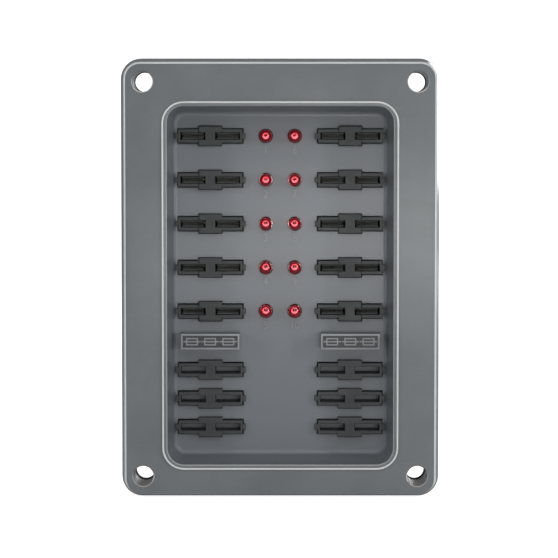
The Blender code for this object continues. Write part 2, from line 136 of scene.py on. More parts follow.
def atDepth(depth, *points):
    return all(abs(point.y - depthY(depth)) < near for point in points)


def backward(centre, normal):
    return normal.y > 0.9


def drawOut(x, y, z):
    # in edit mode: extrudes what is selected
    bpy.ops.mesh.extrude_region_move(TRANSFORM_OT_translate={"value": (x, y, z)})


def addBox(name, centre, size):
    deselect()
    bpy.ops.mesh.primitive_cube_add(size=1, location=centre, scale=size)
    bpy.context.object.name = name
    return settle(bpy.context.object)


def addTube(name, centre, radius, length, sides=48):
    # a cylinder that lies front to back
    deselect()
    bpy.ops.mesh.primitive_cylinder_add(
        vertices=sides, radius=radius, depth=length, location=centre, rotation=(quarter, 0, 0)
    )
    bpy.context.object.name = name
    return settle(bpy.context.object)


def modify(obj, kind, **settings):
    # adds a modifier and applies it
    modifier = obj.modifiers.new(kind.lower(), kind)
    for key, value in settings.items():
        setattr(modifier, key, value)
    only(obj)
    bpy.ops.object.modifier_apply(modifier=modifier.name)


def combine(target, tool, operation, solver="EXACT"):
    # joins a tool to a piece, or cuts it from it, and uses the tool up
    modify(target, "BOOLEAN", operation=operation, solver=solver, object=tool)
    bpy.data.objects.remove(tool)


def roundBox(name, low, high, width, segments=2):
    # a box between two corners, given in millimetres with Y as a depth, with rounded edges
    centre = [(a + b) / 2 for a, b in zip(low, high)]
    size = [(b - a) * mm for a, b in zip(low, high)]
    made = addBox(name, (centre[0] * mm, depthY(centre[1]), centre[2] * mm), size)
    if width:
        roundEdges(made, width * mm, segments)
    return made


def plainBox(name, low, high):
    return roundBox(name, low, high, 0)


def boxAt(name, x, z, halfX, halfZ, front, back, width=0):
    # a box about a place on the front, between two depths
    return roundBox(name, (x - halfX, front, z - halfZ), (x + halfX, back, z + halfZ), width)


def tubeAt(name, x, z, radius, front, back, sides=48):
    middle = (x * mm, depthY((front + back) / 2), z * mm)
    return addTube(name, middle, radius * mm, (back - front) * mm, sides)


def flareFront(tool, grow):
    # widens the front end of a cutter by a slope, so that what it cuts has a softened edge
    corners = [v.co for v in tool.data.vertices]
    middleX = (min(c.x for c in corners) + max(c.x for c in corners)) / 2
    middleZ = (min(c.z for c in corners) + max(c.z for c in corners)) / 2
    halfX = max(c.x for c in corners) - middleX
    halfZ = max(c.z for c in corners) - middleZ
    selectWhere(tool, "FACE", lambda centre, normal: normal.y < -0.9)
    drawOut(0, -grow * mm, 0)
    scale = ((halfX + grow * mm) / halfX, 1, (halfZ + grow * mm) / halfZ)
    bpy.ops.transform.resize(value=scale, center_override=(middleX, 0, middleZ))
    drawOut(0, -2 * mm, 0)
    editEnd()
    return tool


def merge(objects, name):
    deselect()
    for obj in objects:
        obj.select_set(True)
    bpy.context.view_layer.objects.active = objects[0]
    bpy.ops.object.join()
    bpy.context.object.name = name
    return bpy.context.object


def roundEdges(obj, width, segments=2, angle=35):
    modify(
        obj, "BEVEL", width=width, segments=segments, limit_method="ANGLE",
        angle_limit=math.radians(angle), use_clamp_overlap=True,
    )


def roundWhere(obj, test, width, segments, profile=0.5):
    # rounds only the edges that pass a test
    selectWhere(obj, "EDGE", test)
    bpy.ops.mesh.bevel(offset=width, segments=segments, profile=profile, affect="EDGES")
    editEnd()


def smooth(obj, angle=32):
    # smooth roundings with the flat faces kept flat
    only(obj)
    bpy.ops.object.shade_smooth_by_angle(angle=math.radians(angle))
    modify(obj, "WEIGHTED_NORMAL", keep_sharp=True, weight=60)


def copyTo(source, name, node):
    # a copy of a piece modelled at the middle, moved across the front to a node's place
    only(source)
    bpy.ops.object.duplicate()
    made = bpy.context.object
    made.name = name
    middle = centreOf(node)
    made.location = (middle.x, 0, middle.z)
    return settle(made)


def place(obj, slot, material, *nodes):
    # gives a finished piece its material and ties it to the frame
    obj.data.materials.clear()
    obj.data.materials.append(material)
    if nodes:
        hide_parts(*nodes)
    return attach(obj, "root")


# Materials

def newMaterial(name):
    material = bpy.data.materials.new(name)
    material.use_nodes = True
    tree = material.node_tree
    return material, tree, tree.nodes["Principled BSDF"].inputs


def newGroup(name, inputs, outputs):
    # a node group with named sockets: an input is a vector, or a number with its usual value
    group = bpy.data.node_groups.new(name, "ShaderNodeTree")
    for socketName, value in inputs.items():
        kind = "NodeSocketVector" if value is None else "NodeSocketFloat"
        made = group.interface.new_socket(name=socketName, in_out="INPUT", socket_type=kind)
        if value is not None:
            made.default_value = value
    for socketName in outputs:
        group.interface.new_socket(name=socketName, in_out="OUTPUT", socket_type="NodeSocketFloat")
    given = group.nodes.new("NodeGroupInput").outputs
    return group, given, group.nodes.new("NodeGroupOutput").inputs


def coordinate(tree, kind):
    return tree.nodes.new("ShaderNodeTexCoord").outputs[kind]


def axes(tree, vector):
    node = tree.nodes.new("ShaderNodeSeparateXYZ")
    tree.links.new(vector, node.inputs["Vector"])
    return node.outputs


def noise(tree, vector, scale, detail, roughness):
    node = tree.nodes.new("ShaderNodeTexNoise")
    tree.links.new(vector, node.inputs["Vector"])
    tree.links.new(scale, node.inputs["Scale"])
    node.inputs["Detail"].default_value = detail
    node.inputs["Roughness"].default_value = roughness
    return node.outputs["Fac"]


def ramp(tree, source, *limits):
    # maps one range to another and stops at its ends
    node = tree.nodes.new("ShaderNodeMapRange")
    for name, value in zip(("From Min", "From Max", "To Min", "To Max"), limits):
        node.inputs[name].default_value = value
    tree.links.new(source, node.inputs["Value"])
    return node.outputs["Result"]


def fold(tree, operation, result, *others):
    # runs one operation through several sources or numbers
    for other in others:
        node = tree.nodes.new("ShaderNodeMath")
        node.operation = operation
        tree.links.new(result, node.inputs[0])
        if isinstance(other, float):
            node.inputs[1].default_value = other
        else:
            tree.links.new(other, node.inputs[1])
        result = node.outputs["Value"]
    return result


def blend(tree, mask, first, second):
    # goes from the first colour to the second; each is a source or three numbers
    node = tree.nodes.new("ShaderNodeMix")
    node.data_type = "RGBA"
    tree.links.new(mask, node.inputs["Factor"])
    for name, colour in (("A", first), ("B", second)):
        if isinstance(colour, tuple):
            node.inputs[name].default_value = (*colour, 1)
        else:
            tree.links.new(colour, node.inputs[name])
    return node.outputs["Result"]


grains = {
    "fine": (3.0, 0.6), "slow": (4.0, 0.55), "rub": (6.0, 0.7),     # detail and roughness of each noise
    "tone": (0.3, 0.7), "height": 0.1 * mm,                         # the noise's own range, the bump's reach
    "stretch": (1.0, 1.0, 9.0), "turn": math.radians(24), "rare": (0.62, 0.74),   # the rub marks
}


def buildGrainGroup():
    # the fine grain of a spark-eroded mould, with a slow drift of tone over it
    inputs = {"Vector": None, "Grain": 2600.0, "Drift": 40.0}
    group, given, out = newGroup("mouldGrain", inputs, ("Height", "Tone"))
    group.links.new(noise(group, given["Vector"], given["Grain"], *grains["fine"]), out["Height"])
    group.links.new(noise(group, given["Vector"], given["Drift"], *grains["slow"]), out["Tone"])
    return group


def buildScuffGroup():
    # sparse thin rub marks, stretched along one direction
    group, given, out = newGroup("rubMarks", {"Vector": None, "Scale": 60.0}, ("Marks",))
    stretch = group.nodes.new("ShaderNodeMapping")
    stretch.inputs["Scale"].default_value = grains["stretch"]
    stretch.inputs["Rotation"].default_value = (0.0, grains["turn"], 0.0)
    group.links.new(given["Vector"], stretch.inputs["Vector"])
    marks = noise(group, stretch.outputs["Vector"], given["Scale"], *grains["rub"])
    group.links.new(ramp(group, marks, *grains["rare"]), out["Marks"])
    return group


rims = {
    # how far a rounding has turned forward
    "turnStart": (-0.26, -0.42, 0, 1), "turnEnd": (-0.98, -0.93, 0, 1),
    "depth": (1.2, 1.6), "bead": (-0.52, -0.42), "inside": (0.4, 6.0),
    # the painted highlight is weaker on inner edges and left off lower ones, which face away from the light
    "inward": (-0.01, 0.01, 0.42, 1.0), "under": (-0.4, -0.1, 0, 1),
    # flat faces at these depths: the label fields for painted shade, the raised label parts, pocket floors
    # and numbers for painted light
    "levels": {"FieldShade": (8.85, 9.3), "RaisedHighlight": (8.5, 8.8), "PocketLight": (21.0, 22.2), "NumberHighlight": (15.1, 15.45)},
    "soft": 0.06, "flat": (-0.95, -0.85, 1, 0),
}


def buildRimGroup():
    # masks for painted light and for the tray: painted highlights on the front edges and the bead round the
    # mouth, the tray inside, and flat faces at known depths
    outputs = ("RimHighlight", "FieldShade", "Inside", "RaisedHighlight", "PocketLight", "NumberHighlight")
    group, given, out = newGroup("paintedLightAndTrayMasks", {"Vector": None, "Facing": None}, outputs)
    where, facing = axes(group, given["Vector"]), axes(group, given["Facing"])

    def between(front, back, *ends):
        return ramp(group, where["Y"], depthY(front), depthY(back), *ends)

    outward = fold(
        group, "ADD", fold(group, "MULTIPLY", where["X"], facing["X"]),
        fold(group, "MULTIPLY", where["Z"], facing["Z"]),
    )
    band = fold(
        group, "MULTIPLY",
        ramp(group, facing["Y"], *rims["turnStart"]), ramp(group, facing["Y"], *rims["turnEnd"]),
        between(*rims["depth"], 1, 0), ramp(group, outward, *rims["inward"]),
        ramp(group, facing["Z"], *rims["under"]),
    )
    group.links.new(fold(group, "MAXIMUM", band, between(*rims["bead"], 1, 0)), out["RimHighlight"])
    group.links.new(between(*rims["inside"], 0, 1), out["Inside"])
    for name, (front, back) in rims["levels"].items():
        level = fold(
            group, "MULTIPLY", between(front, front + rims["soft"], 0, 1),
            between(back - rims["soft"], back, 1, 0), ramp(group, facing["Y"], *rims["flat"]),
        )
        group.links.new(level, out[name])
    return group


grainGroup = buildGrainGroup()
rimGroup = buildRimGroup()
scuffGroup = buildScuffGroup()


def addGroup(tree, group, **values):
    node = tree.nodes.new("ShaderNodeGroup")
    node.node_tree = group
    tree.links.new(coordinate(tree, "Object"), node.inputs["Vector"])
    for name, value in values.items():
        node.inputs[name].default_value = value
    return node


def spread(tree, mask, low, high):
    # maps a noise to a range, such as a roughness
    return ramp(tree, mask, *grains["tone"], low, high)


def depthMask(tree, start, end):
    # 0 on one side of the start and 1 past the end, along the object's depth in millimetres
    return ramp(tree, axes(tree, coordinate(tree, "Object"))["Y"], depthY(start), depthY(end))


def addTarnish(tree, shader, base, slotShade):
    # painted shade: the clips go dark and dull towards the front, down in the socket slots, with a painted
    # highlight band where the contact ridge catches the light; behind the slots they stay bright metal
    ridgeLit = [depthMask(tree, *slotShade[name]) for name in ("ridgeLitStart", "ridgeLitEnd")]
    unshaded = depthMask(tree, *slotShade["unshaded"])
    tree.links.new(ramp(tree, unshaded, 0, 1, slotShade["metal"], 1.0), shader["Metallic"])
    bright = fold(tree, "MAXIMUM", fold(tree, "MULTIPLY", *ridgeLit), unshaded)
    return blend(tree, bright, slotShade["colour"], base)


def addRims(tree, shader, base, look):
    # painted highlights make the front edges and the bead lighter and glossier; the tray goes bluer; painted
    # shade darkens the label fields; painted light lifts the raised label parts, the numbers and the pocket
    # floors
    masks = addGroup(tree, rimGroup)
    tree.links.new(coordinate(tree, "Normal"), masks.inputs["Facing"])
    for mask, (colour, strength) in look["rims"].items():
        base = blend(tree, fold(tree, "MULTIPLY", masks.outputs[mask], strength), base, colour)
    tree.links.new(ramp(tree, masks.outputs["RimHighlight"], 0, 1, look["coat"], 1.0), shader["Coat Weight"])
    return base


def solidMaterial(name, look):
    material, tree, shader = newMaterial(name)
    grain = addGroup(tree, grainGroup, Grain=look["grain"], Drift=look["drift"]).outputs
    marks = addGroup(tree, scuffGroup, Scale=look["scuffScale"]).outputs["Marks"]
    base = blend(tree, spread(tree, grain["Tone"], 0, 1), look["dark"], look["light"])
    if "slotShade" in look:
        base = addTarnish(tree, shader, base, look["slotShade"])
    if "rims" in look:
        base = addRims(tree, shader, base, look)
    base = blend(tree, fold(tree, "MULTIPLY", marks, look["scuff"]), base, look["scuffColour"])
    tree.links.new(base, shader["Base Color"])
    tree.links.new(spread(tree, grain["Tone"], *look["roughness"]), shader["Roughness"])
    bump = tree.nodes.new("ShaderNodeBump")
    bump.inputs["Strength"].default_value = look["bump"]
    bump.inputs["Distance"].default_value = grains["height"]
    tree.links.new(grain["Height"], bump.inputs["Height"])
    tree.links.new(bump.outputs["Normal"], shader["Normal"])
    for socketName, value in look.get("plain", {}).items():
        shader[socketName].default_value = value
    return material


housingLook = {
    "dark": (0.128, 0.142, 0.150), "light": (0.166, 0.181, 0.191),
    "roughness": (0.46, 0.56), "grain": 2400.0, "drift": 45.0, "bump": 0.16,
    "scuff": 0.22, "scuffScale": 70.0, "scuffColour": (0.26, 0.27, 0.28),
    "coat": 0.35, "plain": {"Coat Roughness": 0.17},
    "rims": {                                           # each mask's colour and how much of it shows
        # the label fields get painted shade; the raised label parts, the pocket floors, the numbers and the
        # front edges get painted light; the tray inside keeps its own bluer tone
        "Inside": ((0.168, 0.184, 0.205), 0.7), "FieldShade": ((0.010, 0.011, 0.012), 0.94),
        "RaisedHighlight": ((0.30, 0.315, 0.33), 0.7), "PocketLight": ((0.21, 0.22, 0.235), 0.9),
        "NumberHighlight": ((0.30, 0.315, 0.33), 0.6), "RimHighlight": ((0.80, 0.81, 0.82), 0.95),
    },
}
socketLook = {
    "dark": (0.022, 0.025, 0.026), "light": (0.036, 0.040, 0.041),
    "roughness": (0.36, 0.50), "grain": 3200.0, "drift": 120.0, "bump": 0.14,
    "scuff": 0.25, "scuffScale": 160.0, "scuffColour": (0.10, 0.10, 0.10),
}
foamLook = {
    "dark": (0.012, 0.012, 0.013), "light": (0.030, 0.030, 0.031),
    "roughness": (0.82, 0.95), "grain": 1500.0, "drift": 300.0, "bump": 0.9,
    "scuff": 0.15, "scuffScale": 90.0, "scuffColour": (0.08, 0.08, 0.08),
    "plain": {"Specular IOR Level": 0.2},
}
boardLook = {
    "dark": (0.010, 0.070, 0.032), "light": (0.016, 0.100, 0.045),
    "roughness": (0.28, 0.40), "grain": 1800.0, "drift": 60.0, "bump": 0.10,
    "scuff": 0.08, "scuffScale": 80.0, "scuffColour": (0.06, 0.20, 0.11),
}
trackLook = {
    **boardLook, "dark": (0.020, 0.140, 0.058), "light": (0.030, 0.175, 0.075),
    "roughness": (0.26, 0.36), "scuffColour": (0.10, 0.26, 0.14),
}
networkLook = {
    "dark": (0.014, 0.014, 0.015), "light": (0.026, 0.026, 0.028),
    "roughness": (0.35, 0.5), "grain": 1200.0, "drift": 200.0, "bump": 0.2,
    "scuff": 0.1, "scuffScale": 160.0, "scuffColour": (0.07, 0.07, 0.07),
}
tinLook = {
    "dark": (0.50, 0.48, 0.43), "light": (0.66, 0.64, 0.59),
    "roughness": (0.26, 0.42), "grain": 2000.0, "drift": 260.0, "bump": 0.08,
    "scuff": 0.35, "scuffScale": 260.0, "scuffColour": (0.80, 0.79, 0.76),
    "slotShade": {
        # painted shade on the clip leaves down in the slots, a painted highlight band on the contact ridge,
        # and bright metal behind
        "unshaded": (21.0, 25.0), "ridgeLitStart": (17.1, 17.4), "ridgeLitEnd": (18.7, 18.4),
        "colour": (0.14, 0.145, 0.14), "metal": 0.1,
    },
}
solderLook = {
    "dark": (0.58, 0.58, 0.57), "light": (0.74, 0.74, 0.73),
    "roughness": (0.18, 0.32), "grain": 1500.0, "drift": 500.0, "bump": 0.12,
    "scuff": 0.1, "scuffScale": 300.0, "scuffColour": (0.85, 0.85, 0.84), "plain": {"Metallic": 1.0},
}
screwLook = {
    "dark": (0.50, 0.50, 0.50), "light": (0.64, 0.64, 0.63),
    "roughness": (0.24, 0.38), "grain": 2600.0, "drift": 320.0, "bump": 0.10,
    "scuff": 0.3, "scuffScale": 320.0, "scuffColour": (0.80, 0.80, 0.79), "plain": {"Metallic": 1.0},
}

housingGrey = solidMaterial("housingGrey", housingLook)
socketBlack = solidMaterial("socketBlack", socketLook)
gasketFoam = solidMaterial("gasketFoam", foamLook)
boardGreen = solidMaterial("boardGreen", boardLook)
trackGreen = solidMaterial("trackGreen", trackLook)
networkBlack = solidMaterial("networkBlack", networkLook)
tinnedBrass = solidMaterial("tinnedBrass", tinLook)
solderBright = solidMaterial("solderBright", solderLook)
screwZinc = solidMaterial("screwZinc", screwLook)

lampLook = {
    "grain": 900.0, "drift": 500.0,
    "lens": ((0.78, 0.014, 0.026), (0.86, 0.020, 0.034)), "lensRoughness": (0.02, 0.06),
    "clear": 0.76, "index": 1.5,
    "metal": ((0.60, 0.58, 0.56), (0.80, 0.79, 0.77)), "metalRoughness": (0.25, 0.4),
    "chip": ((15.03, 15.06), (15.30, 15.25)), "chipColour": (0.02, 0.004, 0.004),
    "glow": ((14.57, 14.60), (15.06, 15.02)), "reflectionColour": (1.0, 0.95, 0.95), "strength": 3.0,
    # painted reflection of the lights in the cup: only what looks forward glows, and more where it also looks
    # up towards the light above
    "forward": (-0.2, -0.35, 0, 1), "lean": (-0.75, 0.55, 0.10, 1.0),
}


def lampMaterial(name, colours, roughness):
    # the slight drift of tone and roughness that a lamp's lens and metal both have
    material, tree, shader = newMaterial(name)
    grain = addGroup(tree, grainGroup, Grain=lampLook["grain"], Drift=lampLook["drift"]).outputs
    tree.links.new(spread(tree, grain["Height"], *roughness), shader["Roughness"])
    return material, tree, shader, blend(tree, spread(tree, grain["Tone"], 0, 1), *colours)


def lensMaterial():
    # red epoxy that lets the cup behind it show
    material, tree, shader, base = lampMaterial("lampRed", lampLook["lens"], lampLook["lensRoughness"])
    tree.links.new(base, shader["Base Color"])
    shader["IOR"].default_value = lampLook["index"]
    shader["Transmission Weight"].default_value = lampLook["clear"]
    return material


def cupMaterial():
    # tinned metal, with a dark chip in the cup, and the cup's cone glowing behind the lens as a painted
    # reflection of the lights
    material, tree, shader, base = lampMaterial("lampCupAndReflection", lampLook["metal"], lampLook["metalRoughness"])
    chip = fold(tree, "MULTIPLY", *[depthMask(tree, *limits) for limits in lampLook["chip"]])
    tree.links.new(blend(tree, chip, base, lampLook["chipColour"]), shader["Base Color"])
    facing = axes(tree, coordinate(tree, "Normal"))
    paintedReflection = fold(
        tree, "MULTIPLY", ramp(tree, facing["Y"], *lampLook["forward"]),
        *[depthMask(tree, *limits) for limits in lampLook["glow"]],
        ramp(tree, facing["Z"], *lampLook["lean"]),
    )
    tree.links.new(blend(tree, paintedReflection, (0, 0, 0), lampLook["reflectionColour"]), shader["Emission Color"])
    shader["Emission Strength"].default_value = lampLook["strength"]
    shader["Metallic"].default_value = 1.0
    return material


lampRed = lensMaterial()
lampCupAndReflection = cupMaterial()
print("materials ready")


# Housing

housing = {
    "parting": 8.5, "skirtEnd": 16.0, "flare": 1.6, "edge": 1.2,   # outside of the flange
    "outerCorner": 8.2, "faceWall": 2.6, "skirtWall": 2.3,
    "mouthHalf": 44.9, "mouthTop": 68.6, "mouthBottom": -73.8, "mouthCorner": 6.6,
    "floor": 15.6, "draft": 1.8, "floorWall": 2.4, "tubWall": 2.2, "floorRound": 1.6,
    "cornerSteps": 10, "holeX": 54.6, "holeZ": 78.5, "holeRadius": 4.05, "holeEdge": 0.35,
    "tubeRadius": 6.4, "tubeFront": 1.4, "postRadius": 2.8, "pilot": 1.7, "pilotDeep": 9.0,
    "ribHalf": 0.8, "ribFront": 1.6, "ribRows": (-40.0, 0.0, 40.0), "ribColumn": 22.0, "ribEnd": 2.6,
    "lampHole": 2.75, "lampEdge": 0.25, "openingEdge": 0.2, "gap": 0.3,
    "innerRound": 1.0, "skirtRound": 0.4, "line": (0.12, 0.09, 0.04),     # the parting line's groove
    # the bead round the mouth, and how far outside the mouth and how deep the lip's points lie
    "bead": (1.72, 0.38), "step": ((2.7, 0.0), (2.1, 0.0)), "lip": ((1.30, -0.36), (0.62, -0.34)),
    "lipRound": (0.5, 0.16), "wallTop": (0.06, 1.2),
}
ringSpacing = 0.5
outerHalf = housingHigh.x / mm
outerTop = housingHigh.z / mm


def outline(base, grow):
    # half width, top, bottom and corner of the flange or of the mouth, grown outwards by a distance
    if base == "flange":
        corner = housing["outerCorner"]
        return (outerHalf + grow, outerTop + grow, -outerTop - grow, corner + grow)
    corner = housing["mouthCorner"]
    return (
        housing["mouthHalf"] + grow, housing["mouthTop"] + grow,
        housing["mouthBottom"] - grow, corner + grow,
    )


def addRing(shell, number, base, grow):
    # in edit mode: a rounded rectangle of edges, kept in a vertex group; rings are first stacked well apart
    halfWidth, top, bottom, corner = outline(base, grow)
    pick("DESELECT")
    middle = (0, number * ringSpacing, (top + bottom) / 2 * mm)
    bpy.ops.mesh.primitive_plane_add(size=1, location=middle, rotation=(quarter, 0, 0))
    wide, high = 2 * halfWidth * mm, (top - bottom) * mm
    bpy.ops.transform.resize(value=(wide, 1, high), center_override=middle)
    bpy.ops.mesh.bevel(
        offset=corner * mm, segments=housing["cornerSteps"], profile=0.5, affect="VERTICES"
    )
    shell.vertex_groups.new(name=f"ring{number}")
    shell.vertex_groups.active_index = number
    bpy.ops.object.vertex_group_assign()
    bpy.ops.mesh.delete(type="ONLY_FACE")


def pickRing(shell, number):
    shell.vertex_groups.active_index = number
    bpy.ops.object.vertex_group_select()


def bridgeRings(loft, first, second):
    pick("DESELECT")
    pickRing(loft, first)
    pickRing(loft, second)
    bpy.ops.mesh.bridge_edge_loops()


def arc(base, grow, depth, radius, start, end, steps):
    # points on a rounding: its centre, its radius and two angles, where 0 points outwards and 90 backwards
    points = []
    for step in range(steps + 1):
        angle = math.radians(start + (end - start) * step / steps)
        points.append((base, grow + radius * math.cos(angle), depth + radius * math.sin(angle)))
    return points


def housingProfile():
    # from the back of the tray, round the skirt and over the flange, down to the tray's floor
    floor, skirt, parting, wall = (housing[part] for part in ("floor", "skirtEnd", "parting", "faceWall"))
    tub, draft, edge, flare = (housing[part] for part in ("tubWall", "draft", "edge", "flare"))
    back, inner = floor + housing["floorWall"], -housing["skirtWall"]
    turned, small, rounding = housing["innerRound"], housing["skirtRound"], housing["floorRound"]
    rings = [("mouth", tub - draft - 1.4, back)]
    rings += arc("mouth", tub - draft - turned, back - turned, turned, 90, 0, 4)
    rings += arc("mouth", tub + turned, wall + turned, turned, 180, 270, 3)
    rings += arc("flange", inner - flare - turned, wall + turned, turned, -90, 0, 3)
    rings += [("flange", inner, skirt - small), ("flange", inner + small, skirt)]
    rings += arc("flange", -small, skirt - small, small, 90, 0, 3)
    half, sunk, risen = housing["line"]
    rings += [("flange", 0.0, parting + half), ("flange", -sunk, parting), ("flange", -risen, parting - half)]
    lean = flare / parting
    rings += [("flange", -0.1 - lean, parting - 1.0)]
    turn = -math.degrees(math.atan(lean))
    rings += arc("flange", -flare - edge * 0.86, edge, edge, turn, -90, 6)
    rings += [("flange", -flare - edge - 0.8, 0.0)]
    rings += [("mouth", *point) for point in housing["step"]]
    grow, radius = housing["bead"]
    rings += arc("mouth", grow, -radius, radius, 0, -180, 8)
    rings += [("mouth", *point) for point in housing["lip"]]
    radius, depth = housing["lipRound"]
    rings += arc("mouth", radius, depth, radius, -90, -180, 5)
    share, depth = housing["wallTop"]
    rings += [("mouth", -draft * share, depth)]
    side = -(draft / floor) * (floor - rounding)
    rings += arc("mouth", side - rounding, floor - rounding, rounding, 0, 90, 6)
    rings += [("mouth", side - rounding - 0.6, floor)]
    return rings


def loftRings(name, rings, closed=False):
    # bridges each ring to the next, caps the ends, then pushes every ring to its own depth
    loft = bpy.data.objects.new(name, bpy.data.meshes.new(name))
    bpy.context.scene.collection.objects.link(loft)
    editStart(loft)
    for number, (base, grow, depth) in enumerate(rings):
        addRing(loft, number, base, grow)
        if number:
            bridgeRings(loft, number - 1, number)
    if closed:
        bridgeRings(loft, len(rings) - 1, 0)
    else:
        for number in (0, len(rings) - 1):
            pick("DESELECT")
            pickRing(loft, number)
            bpy.ops.mesh.edge_face_add()
    for number, (base, grow, depth) in enumerate(rings):
        pick("DESELECT")
        pickRing(loft, number)
        bpy.ops.transform.translate(value=(0, depthY(depth) - number * ringSpacing, 0))
    pick("SELECT")
    bpy.ops.mesh.normals_make_consistent(inside=False)
    editEnd()
    loft.vertex_groups.clear()
    return loft


def cornerTubes(name, radius, front, back, sides=64):
    sideX, upZ = housing["holeX"], housing["holeZ"]
    places = [(x, z) for x in (-sideX, sideX) for z in (-upZ, upZ)]
    return [tubeAt(name, x, z, radius, front, back, sides) for x, z in places]


def addInside(shell):
    # the pieces of the moulding behind its face: screw tubes, ribs, board posts and spare pockets
    floor, gap, half = housing["floor"], housing["gap"], housing["ribHalf"]
    tubes = cornerTubes("screwTube", housing["tubeRadius"], housing["tubeFront"], housing["skirtEnd"], 48)
    combine(shell, merge(tubes, "screwTubes"), "UNION")
    ribs = []
    front, back = housing["ribFront"], housing["skirtEnd"] - 2
    for side in (-1, 1):
        for z in housing["ribRows"]:
            xs = sorted((side * (housing["mouthHalf"] + gap), side * (outerHalf - housing["ribEnd"])))
            ribs.append(plainBox("rib", (xs[0], front, z - half), (xs[1], back, z + half)))
        for start in (housing["mouthTop"] + gap, housing["mouthBottom"] - gap):
            zs = sorted((start, math.copysign(outerTop - housing["ribEnd"], start)))
            x = side * housing["ribColumn"]
            ribs.append(plainBox("rib", (x - half, front, zs[0]), (x + half, back, zs[1])))
    combine(shell, merge(ribs, "ribs"), "UNION")
    back = depthsOf("circuit_board")[0] - gap
    posts = [tubeAt("post", *spot(name), housing["postRadius"], floor + 1, back, 32) for name in screwNames]
    combine(shell, merge(posts, "posts"), "UNION")
    pockets = []
    for name in spareNames:
        x, z = spot(name)
        back = depthsOf(name)[1] + gap + spare["pocketWall"]
        halfX = spare["length"] / 2 + gap + spare["pocketWall"]
        halfZ = spare["width"] / 2 + gap + spare["pocketWall"]
        pockets.append(boxAt("pocket", x, z, halfX, halfZ, floor + 1, back, 0.4))
    combine(shell, merge(pockets, "pockets"), "UNION")


def cutOpenings(shell):
    # everything that goes through the tray's floor or the flange
    floor, gap, edge = housing["floor"], housing["gap"], housing["openingEdge"]
    through = floor + 4.0
    halfX, halfZ = spare["length"] / 2 + gap, spare["width"] / 2 + gap
    cuts = []
    for name in socketNames + spareNames:
        x, z = spot(name)
        deep = depthsOf(name)[1] + gap if name in spareNames else through
        cuts.append(flareFront(boxAt("opening", x, z, halfX, halfZ, floor + edge, deep), edge))
    combine(shell, merge(cuts, "socketOpenings"), "DIFFERENCE")
    edge = housing["lampEdge"]
    cuts = [
        flareFront(tubeAt("lampHole", *spot(name), housing["lampHole"], floor + edge, through), edge)
        for name in lampNames
    ]
    edge = housing["holeEdge"]
    holes = cornerTubes("screwHole", housing["holeRadius"], edge, housing["skirtEnd"] + 2)
    cuts += [flareFront(hole, edge) for hole in holes]
    back = depthsOf("circuit_board")[0]
    for name in screwNames:
        cuts.append(tubeAt("pilot", *spot(name), housing["pilot"], back - housing["pilotDeep"], back + 1, 32))
    combine(shell, merge(cuts, "roundHoles"), "DIFFERENCE")


label = {
    "x": 28.15, "z": -25.6, "width": 23.8, "height": 6.5, "stand": 7.0,     # the raised block
    "border": 0.95, "edge": 0.15, "sink": 0.5, "relief": 0.35,              # its frame and what stands in it
    "signs": 3, "signWidth": 4.8, "signHeight": 3.0, "signLead": 1.1, "stroke": 0.5,
}


def fuseSign(x, z, base):
    # the general drawing sign of a fuse: a box with a line through it
    halfX, halfZ, thin = label["signWidth"] / 2, label["signHeight"] / 2, label["stroke"]
    front, back = base - label["relief"], base + 0.3
    bars = [
        (x - halfX, x + halfX, z + halfZ - thin, z + halfZ),
        (x - halfX, x + halfX, z - halfZ, z - halfZ + thin),
        (x - halfX, x - halfX + thin, z - halfZ, z + halfZ),
        (x + halfX - thin, x + halfX, z - halfZ, z + halfZ),
        (x - halfX - label["signLead"], x + halfX + label["signLead"], z - thin / 2, z + thin / 2),
    ]
    sign = plainBox("sign", (bars[0][0], front, bars[0][2]), (bars[0][1], back, bars[0][3]))
    for left, right, low, high in bars[1:]:
        combine(sign, plainBox("bar", (left, front, low), (right, back, high)), "UNION")
    return sign


def addLabels(shell):
    floor = housing["floor"]
    top = floor - label["stand"]
    halfX, halfZ = label["width"] / 2, label["height"] / 2
    blocks, sinks, signs = [], [], []
    for side in (-1, 1):
        x, z = side * label["x"], label["z"]
        blocks.append(boxAt("label", x, z, halfX, halfZ, top, floor + 1, 0.3))
        inX, inZ = halfX - label["border"], halfZ - label["border"]
        sink = boxAt("sink", x, z, inX, inZ, top + label["edge"], top + label["sink"])
        sinks.append(flareFront(sink, label["edge"]))
        pitch = 2 * inX / label["signs"]
        for number in range(label["signs"]):
            at = x + (number - (label["signs"] - 1) / 2) * pitch
            signs.append(fuseSign(at, z, top + label["sink"]))
    combine(shell, merge(blocks, "labels"), "UNION")
    combine(shell, merge(sinks, "sinks"), "DIFFERENCE")
    combine(shell, merge(signs, "signs"), "UNION")


numerals = {"height": 3.2, "below": 5.85, "relief": 0.3, "root": 0.15, "stretch": 0.8, "capShare": 0.7}


def addNumerals(shell):
    # low raised numbers under the lamps: 1 to 5 on the left and 6 to 10 on the right
    made = []
    for number, name in enumerate(lampNames, 1):
        x, z = spot(name)
        where = (x * mm, depthY(housing["floor"] + numerals["root"]), (z - numerals["below"]) * mm)
        deselect()
        bpy.ops.object.text_add(location=where, rotation=(quarter, 0, 0))
        text = bpy.context.object
        text.data.body = str(number)
        text.data.align_x, text.data.align_y = "CENTER", "CENTER"
        text.data.size = numerals["height"] * mm / numerals["capShare"]
        text.data.resolution_u = 3
        text.data.extrude = (numerals["relief"] + numerals["root"]) * mm
        text.scale = (numerals["stretch"], 1, 1)
        bpy.ops.object.convert(target="MESH")
        settle(text)
        editStart(text)
        pick("SELECT")
        bpy.ops.mesh.remove_doubles(threshold=0.002 * mm)
        editEnd()
        made.append(text)
    combine(shell, merge(made, "numbers"), "UNION", "MANIFOLD")


spare = {"length": 25.9, "width": 5.46, "pocketWall": 1.8}

